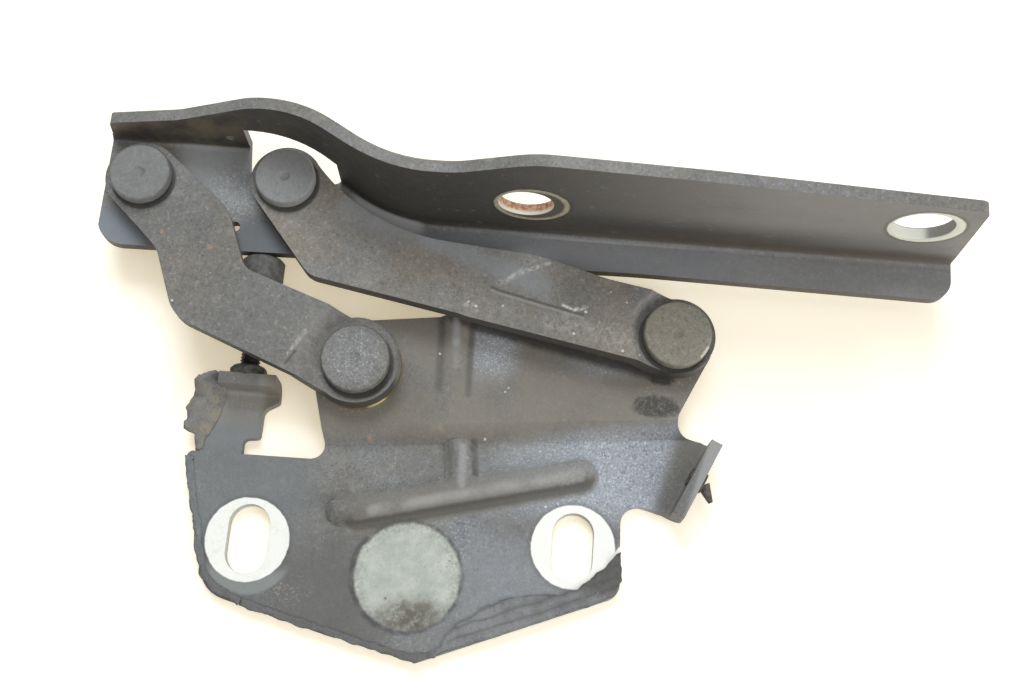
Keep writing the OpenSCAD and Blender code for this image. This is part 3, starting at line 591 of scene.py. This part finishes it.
def head_paint():
    """Paint of the rivets: each head has its own tone, with painted shade on its side; one head is
    painted lighter and one has a painted glint.
    """
    f = Finish("rivet_paint")
    colour = dusty_paint(f, 60, brown=0.45, blue=0.35, tone=1.08)
    frost = f.grade(f.reach(PIVOTS["short_base"], 2, 0.3), 9, 4)
    colour = f.over(colour, (0.225, 0.235, 0.25), frost, 0.5)
    colour = sparkle(f, colour, f.both(frost, 0.55), 61)
    for pivot, centre in PIVOTS.items():
        r = HEAD_R[pivot]
        # Painted shade on each head's side
        side = f.between(f.reach(centre), (r - 0.35, r - 0.1), (r + 3, r + 1))
        colour = f.over(colour, (0.08, 0.078, 0.074), side, 0.35)
    # The long link's head on the body bracket is browner; its head under the flange is painted
    # lighter, against the flange's shadow
    for pivot, tone in (("long_base", (0.3, 0.276, 0.212)), ("long_bonnet", (0.36, 0.372, 0.385))):
        colour = f.over(colour, tone, f.grade(f.reach(PIVOTS[pivot]), 10, 9), 0.6)
    glint = f.grade(f.stroke((67.0, 49.2), (68.5, 51.6), 0.35, 0.8), 0.5, 0.15)
    colour = f.over(colour, (0.7, 0.67, 0.56), glint, 0.8)
    for scale, seed in ((0.8, 64), (1.7, 65)):
        grain = f.noise(scale, 4, 0.8, seed)
        colour = f.over(colour, (0.09, 0.088, 0.082), f.grade(grain, 0.49, 0.3), 0.62)
        colour = f.over(colour, (0.43, 0.42, 0.39), f.grade(grain, 0.53, 0.72), 0.6)
    for pivot, tone in (
        ("short_bonnet", (0.205, 0.218, 0.226)),
        ("long_bonnet", (0.225, 0.236, 0.246)),
    ):
        colour = f.over(colour, tone, f.grade(f.reach(PIVOTS[pivot]), 8, 7.2), 0.55)
    return f.finish(colour, paint_gloss(f, 62), paint_bumps(f, 60))


def worn_edge():
    """Finish of the rounded edges, worn pale in places."""
    f = Finish("worn_edge")
    wear_and_light = f.patches(0.45, 0.7, 0.3, 5, 0.75)
    colour = f.mix(wear_and_light, (0.12, 0.119, 0.115), (0.3, 0.3, 0.295))
    colour = f.over(colour, (0.06, 0.06, 0.058), f.patches(0.5, 0.3, 1.2, 4, 0.7, 3))
    return f.finish(colour, 0.45, paint_bumps(f, 70))


def wax_film():
    """Torn wax: olive on the horn, the pad's tone on the rims, and painted highlights and shade in
    lines along the long wrinkles at the lower right.
    """
    f = Finish("wax_film")
    colour = f.mix(f.patches(0.35, 0.7, 0.12, 5, 0.65), (0.155, 0.158, 0.163), (0.24, 0.247, 0.258))
    horn = f.both(f.grade(f.y, 17.5, 19.5), f.patches(0.35, 0.65, 0.3, 4, 0.6, 4))
    colour = f.over(colour, (0.28, 0.25, 0.19), horn, 0.85)
    rim = f.both(f.grade(f.y, 19, 17.5), f.grade(f.x, 9, 7))
    rim_tone = f.mix(f.grade(f.y, -14, 0), (0.125, 0.125, 0.124), (0.172, 0.188, 0.2))
    colour = f.over(colour, rim_tone, rim, 0.8)
    corner = f.grade(f.x, 9, 13)
    # Painted highlights and shade in lines along the wrinkles
    bend = f.calc("MULTIPLY", f.noise(0.09, 3, 0.6, 5), 9.0)
    wave = f.calc("SINE", f.calc("MULTIPLY_ADD", f.beyond(f.y, f.x, 0.407, 0.0), 2.3, bend))
    colour = f.over(colour, (0.27, 0.28, 0.295), corner, f.grade(wave, 0.3, 0.95), 0.25)
    colour = f.over(colour, (0.085, 0.084, 0.082), corner, f.grade(wave, -0.4, -0.95), 0.4)
    tear = f.both(f.grade(f.x, 35, 41), f.grade(f.ragged(f.y, 1.5, 0.3), -10, -6.5))
    colour = f.over(colour, (0.08, 0.078, 0.073), tear, 0.75)
    colour = f.over(colour, (0.4, 0.39, 0.36), f.patches(0.58, 0.75, 1.0, 4, 0.7, 6), 0.5)
    colour = f.over(colour, (0.06, 0.06, 0.057), f.patches(0.45, 0.28, 1.5, 3, 0.7), 0.8)
    return f.finish(colour, 0.5, [(f.noise(0.5, 5, 0.65), 0.6)])


def dirty_bronze():
    """Bronze of the washers and bushes, with a painted glint where one edge shows."""
    f = Finish("bronze")
    colour = f.mix(f.patches(0.3, 0.6, 0.5, 5, 0.65), (0.1, 0.085, 0.045), (0.22, 0.18, 0.085))
    # Painted glint, also made smoother
    wear_and_light = f.grade(f.reach((-10.5, 31.9), 0.8, 0.5), 3.6, 1.6)
    colour = f.mix(wear_and_light, colour, (0.82, 0.72, 0.34))
    rough = f.calc("SUBTRACT", 0.55, f.calc("MULTIPLY", wear_and_light, 0.25))
    return f.finish(colour, rough, [(f.noise(1.5, 4), 0.05)], metal=0.35)


def screw_finish():
    """Black thread; the end that shows in the horn is painted over with it."""
    f = Finish("black_screw")
    colour = f.mix(f.patches(0.35, 0.7, 0.8, 5, 0.65), (0.012, 0.011, 0.011), (0.045, 0.042, 0.038))
    colour = f.mix(f.grade(f.y, 37, 35.5), colour, (0.2, 0.195, 0.182))
    return f.finish(colour, 0.5, [(f.noise(2, 4, 0.6), 0.06)])


def plain(name, dark, pale, rough):
    """Cloudy finish between two tones, for the small parts."""
    f = Finish(name)
    colour = f.mix(f.patches(0.35, 0.7, 0.8, 5, 0.65), dark, pale)
    rough = f.calc("ADD", rough, f.calc("MULTIPLY", f.noise(1.6, 3), 0.15))
    return f.finish(colour, rough, [(f.noise(2.0, 4, 0.6), 0.06)])


def node_chain(name, kinds):
    """Group of geometry nodes, one after another; returns it with its nodes."""
    group = bpy.data.node_groups.new(name, "GeometryNodeTree")
    for way in ("INPUT", "OUTPUT"):
        group.interface.new_socket("Geometry", in_out=way, socket_type="NodeSocketGeometry")
    made = [group.nodes.new("GeometryNode" + kind) for kind in kinds]
    ends = [group.nodes.new("NodeGroupInput"), *made, group.nodes.new("NodeGroupOutput")]
    for near, far in zip(ends, ends[1:]):
        group.links.new(near.outputs[0], far.inputs[0])
    return group, made


def weld_group():
    """Welds the CAD triangles into one skin, so that its edges can be rounded."""
    group, (bare, weld) = node_chain("weld_skin", ["RemoveAttribute", "MergeByDistance"])
    bare.inputs["Name"].default_value = "custom_normal"
    weld.inputs["Distance"].default_value = WELD_GAP * MM
    return group


def smooth_group():
    """Shades faces smooth and keeps steep edges sharp."""
    group, (_, hard) = node_chain("smooth_skin", ["SetShadeSmooth", "SetShadeSmooth"])
    hard.domain = "EDGE"
    hard.inputs["Shade Smooth"].default_value = False
    angle = group.nodes.new("GeometryNodeInputMeshEdgeAngle")
    steep = group.nodes.new("FunctionNodeCompare")
    steep.operation = "GREATER_THAN"
    steep.inputs[1].default_value = SHARP
    group.links.new(angle.outputs["Unsigned Angle"], steep.inputs[0])
    group.links.new(steep.outputs[0], hard.inputs["Selection"])
    return group


WELD, SMOOTH = weld_group(), smooth_group()
EDGE, ARM, FILM = worn_edge(), arm_paint(), wax_film()


def round_edges(obj, width, edge):
    """Rounds a CAD node's sharp edges with modifiers; an edge finish goes on the rounding."""
    obj.modifiers.new("weld", "NODES").node_group = WELD
    flat = obj.modifiers.new("flat", "DECIMATE")
    flat.decimate_type = "DISSOLVE"
    flat.angle_limit = FLAT
    bevel = obj.modifiers.new("edges", "BEVEL")
    bevel.width = width * MM
    bevel.segments = 2
    bevel.limit_method = "ANGLE"
    bevel.angle_limit = SHARP
    if edge:
        obj.data.materials.append(edge)
        bevel.material = 1
    obj.modifiers.new("smooth", "NODES").node_group = SMOOTH
    obj.modifiers.new("shade", "WEIGHTED_NORMAL").keep_sharp = True


def dress(nodes, material, width, edge=None):
    for name in nodes:
        obj = NODES[name]
        obj.data.materials.clear()
        obj.data.materials.append(material)
        round_edges(obj, width, edge)


dress(["base_bracket"], base_paint(), 0.35, EDGE)
dress(["bonnet_bracket"], ARM, 0.4)
for link, marks in LINKS.items():
    dress([link], link_paint(link + "_paint", **marks), 0.4, EDGE)
dress([n for n in NODES if n.startswith("rivet_")], head_paint(), 0.2)
dress([n for n in NODES if n.startswith(("washer_", "bush_"))], dirty_bronze(), 0.1)
dress(["stop_screw"], screw_finish(), 0.05)
for part, finish, dark, pale, rough, width in (
    ("stop_nut", "grimy_nut", (0.035, 0.034, 0.032), (0.11, 0.11, 0.105), 0.5, 0.12),
    ("stop_buffer", "buffer_rubber", (0.085, 0.084, 0.08), (0.17, 0.166, 0.158), 0.6, 0.3),
    ("ear_plug", "plug_rubber", (0.05, 0.045, 0.04), (0.15, 0.135, 0.115), 0.6, 0.2),
):
    dress([part], plain(finish, dark, pale, rough), width)


def wrinkle(x, y, scale, layer):
    """Smooth noise about 0 at a point; scale may differ along X and Y."""
    scale_x, scale_y = scale if isinstance(scale, tuple) else (scale, scale)
    return noise.noise(Vector((x * scale_x, y * scale_y, layer)))


def torn(points, step, depth, seed):
    """Resamples a closed outline and shifts its points, so that it looks torn."""
    made = []
    for (ax, ay), (bx, by) in zip(points, points[1:] + points[:1]):
        length = math.hypot(bx - ax, by - ay)
        count = max(1, round(length / step))
        for k in range(count):
            x, y = ax + (bx - ax) * k / count, ay + (by - ay) * k / count
            push = depth * (wrinkle(x, y, 0.4, seed) + 0.35 * wrinkle(x, y, 1.1, seed))
            made.append((x - push * (by - ay) / length, y + push * (bx - ax) / length))
    return made


def film(name, outline, height, spacing, thick, seed):
    """A thin torn sheet: its outline is filled with a loose grid; height gives a point's level."""
    rng = random.Random(seed)
    loose, clear = 0.25, 0.45 * spacing
    rim = [Vector(p) for p in outline]
    points = list(rim)
    low_x, high_x = min(p.x for p in rim), max(p.x for p in rim)
    low_y, high_y = min(p.y for p in rim), max(p.y for p in rim)
    x = low_x
    while x < high_x:
        y = low_y
        while y < high_y:
            spot = Vector((x + rng.uniform(-loose, loose) * spacing,
                           y + rng.uniform(-loose, loose) * spacing))
            if min((spot - p).length for p in rim) > clear:
                points.append(spot)
            y += spacing
        x += spacing
    ring = [(i, (i + 1) % len(rim)) for i in range(len(rim))]
    verts, _, faces = geometry.delaunay_2d_cdt(points, ring, [], 1, 1e-5)[:3]
    mesh = bpy.data.meshes.new(name)
    mesh.from_pydata([(v.x * MM, v.y * MM, height(v.x, v.y) * MM) for v in verts], [], faces)
    mesh.polygons.foreach_set("use_smooth", [True] * len(mesh.polygons))
    mesh.materials.append(FILM)
    obj = bpy.data.objects.new(name, mesh)
    bpy.context.scene.collection.objects.link(obj)
    shell = obj.modifiers.new("shell", "SOLIDIFY")
    shell.thickness, shell.offset = thick * MM, 1.0
    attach(obj, "base")


def ease(value, low, high):
    part = min(1.0, max(0.0, (value - low) / (high - low)))
    return part * part * (3 - 2 * part)


def flap_height(x, y):
    """On the horn at its edge, lifting off towards the torn side and up beside the folded end."""
    edge = -54.2 + 0.36 * (y - 21)
    away = ease(edge - x, -0.8, 4.5)
    fold = ease(y, 31.5, 36)
    crumple = 1.5 * wrinkle(x, y, 0.3, 2.0) + 0.7 * wrinkle(x, y, 0.8, 5.0)
    return PAD_TOP + 0.02 + 5.2 * fold + away * (1.4 + 1.6 * ease(y, 22, 32) + crumple)


def corner_height(x, y):
    """Lies on the pad in long soft wrinkles that run beside its lower edge."""
    inward = (y + 27.9) - 0.407 * (x - 3.8)
    wave = 0.5 + 0.5 * math.sin(1.55 * inward + 1.6 * wrinkle(x, y, 0.09, 3.0))
    crumple = wrinkle(x, y, (0.25, 0.6), 8.0)
    return PAD_TOP + 0.02 + 0.4 * wave * ease(inward, 0.2, 2.5) * (0.7 + 0.5 * crumple)


def rim_height(x, y):
    """Rough strip along the pad's rim."""
    return PAD_TOP - 0.05 + 0.3 * (0.5 + wrinkle(x, y, 0.4, 6.0))


film("horn_film", torn(HORN_OUTLINE, 0.7, 0.9, 1.0), flap_height, 0.8, 0.3, 1)
film("corner_film", torn(CORNER_OUTLINE, 0.7, 0.55, 2.0), corner_height, 0.8, 0.25, 2)
film("left_film", torn(LEFT_OUTLINE, 0.6, 0.6, 3.0), rim_height, 0.6, 0.25, 3)
film("lower_film", torn(LOWER_OUTLINE, 0.6, 0.4, 4.0), rim_height, 0.6, 0.25, 4)


def fold_path():
    """Corner line between web and flange, right and left of the window: x, y and turn inwards."""
    steps = 12
    right = [(129.2, FLANGE_Y, 0.0), (60, FLANGE_Y, 0.0)]
    for k in range(steps + 1):
        turn = BOW_TURN * k / steps
        right.append((-BOW_R * math.sin(turn), FLANGE_Y + BOW_R - BOW_R * math.cos(turn), turn))
    right.append((-25.5, 88.65, BOW_TURN))
    left = [(x, FLANGE_BACK_Y, 0.0) for x in (-50.8, -70, -85.6)]
    return right, left


def fold_fillet(name, rows):
    """The hollow inside of the sheet's fold, along one side of the path."""
    bite, steps = 0.15, 6
    arc = [math.pi / 2 * k / steps for k in range(steps + 1)]
    hollow = [(FOLD_R * (1 - math.cos(a)), FOLD_R * (1 - math.sin(a))) for a in arc]
    section = [(-bite, -bite), (-bite, FOLD_R), *hollow, (FOLD_R, -bite)]
    count = len(section)
    shape = bmesh.new()
    rings = []
    for x, y, turn in rows:
        ring = [(x - math.sin(turn) * out, y - math.cos(turn) * out, ARM_TOP + up)
                for out, up in section]
        rings.append([shape.verts.new([v * MM for v in corner]) for corner in ring])
    for near, far in zip(rings, rings[1:]):
        for k in range(count):
            after = (k + 1) % count
            shape.faces.new((near[k], near[after], far[after], far[k]))
    shape.faces.new(rings[0])
    shape.faces.new(rings[-1])
    bmesh.ops.recalc_face_normals(shape, faces=shape.faces)
    mesh = bpy.data.meshes.new(name)
    shape.to_mesh(mesh)
    shape.free()
    mesh.materials.append(ARM)
    obj = bpy.data.objects.new(name, mesh)
    bpy.context.scene.collection.objects.link(obj)
    obj.modifiers.new("smooth", "NODES").node_group = SMOOTH
    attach(obj, "bonnet_side")


fold_right, fold_left = fold_path()
fold_fillet("fold_right", fold_right)
fold_fillet("fold_left", fold_left)


def studio_floor():
    """Pale floor that looks brighter and warmer to the camera than it lights the part."""
    bpy.ops.mesh.primitive_plane_add(size=6, location=(0, 0, -0.1 * MM))
    floor = bpy.context.object
    floor.name = "floor"
    f = Finish("floor")
    floor.data.materials.append(f.finish((0.93, 0.93, 0.92), 0.9, specular=0.1))
    rays = f.node("ShaderNodeLightPath").outputs
    seen = f.either(*(rays[f"Is {kind} Ray"] for kind in ("Camera", "Glossy", "Transmission")))
    f.put(f.shader.inputs["Emission Color"], (1.0, 0.84, 0.53))
    f.put(f.shader.inputs["Emission Strength"], f.calc("MULTIPLY", seen, 0.44))


def studio_light():
    """Soft key lamp from beyond the bonnet flange, one overhead, one at the side; a dim world."""
    world = bpy.data.worlds.new("studio")
    world.use_nodes = True
    back = world.node_tree.nodes["Background"]
    back.inputs["Color"].default_value = (1.0, 0.965, 0.9, 1)
    back.inputs["Strength"].default_value = 0.36
    bpy.context.scene.world = world
    for name, place, size, power, colour in LAMPS:
        lamp = bpy.data.lights.new(name, "AREA")
        lamp.size, lamp.energy, lamp.color = size, power, colour
        holder = bpy.data.objects.new(name, lamp)
        holder.location = place
        aim = LAMP_TARGET - Vector(place)
        holder.rotation_euler = aim.to_track_quat("-Z", "Y").to_euler()
        bpy.context.scene.collection.objects.link(holder)


def studio_camera():
    camera = bpy.data.cameras.new("camera")
    camera.sensor_width, camera.lens = SENSOR, SENSOR * FOCAL_LENGTH / PHOTO_WIDTH
    camera.clip_start = 0.01
    shot = bpy.data.objects.new("camera", camera)
    up = -CAMERA_DOWN
    axes = Matrix((CAMERA_RIGHT, up, CAMERA_RIGHT.cross(up))).transposed()
    shot.matrix_world = Matrix.Translation(CAMERA_AT * MM) @ axes.to_4x4()
    bpy.context.scene.collection.objects.link(shot)
    bpy.context.scene.camera = shot
    bpy.context.scene.view_settings.view_transform = "Standard"


studio_floor()
studio_light()
studio_camera()
